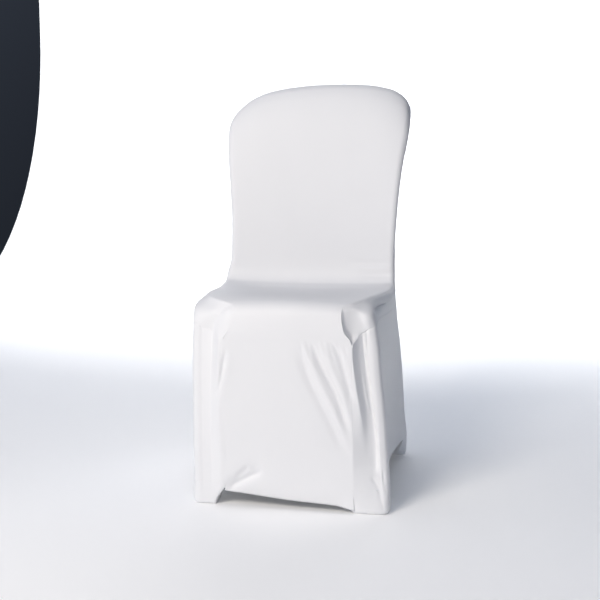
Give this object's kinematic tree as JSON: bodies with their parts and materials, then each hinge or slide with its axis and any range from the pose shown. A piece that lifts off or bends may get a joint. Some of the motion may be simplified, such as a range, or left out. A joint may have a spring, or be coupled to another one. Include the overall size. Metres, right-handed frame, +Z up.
{
  "type": "stretch cover for a banquet chair",
  "caption": "Fitted white stretch cover for an armless banquet chair, with panels over back, seat and skirt and a pocket for each foot.",
  "frame": {"origin": "under the middle of the cover's top edge, inside the back, where the chair's top rail would carry it", "axes": "+Z up, along the cover's height; the front faces -Y; +X is across the cover, to the right of a viewer who faces the front"},
  "size_m": [0.4404, 0.5474, 0.9034],
  "materials": {
    "white_stretch_knit": "soft satin stretch knit"
  },
  "bodies": {
    "root": {"main_panel": "white_stretch_knit", "rear_panel": "white_stretch_knit", "side_panel_left": "white_stretch_knit", "side_panel_right": "white_stretch_knit", "seat_band_left": "white_stretch_knit", "seat_band_right": "white_stretch_knit", "foot_pocket_front_left": "white_stretch_knit", "foot_pocket_front_right": "white_stretch_knit", "foot_pocket_rear_left": "white_stretch_knit", "foot_pocket_rear_right": "white_stretch_knit"}
  },
  "joints": []
}
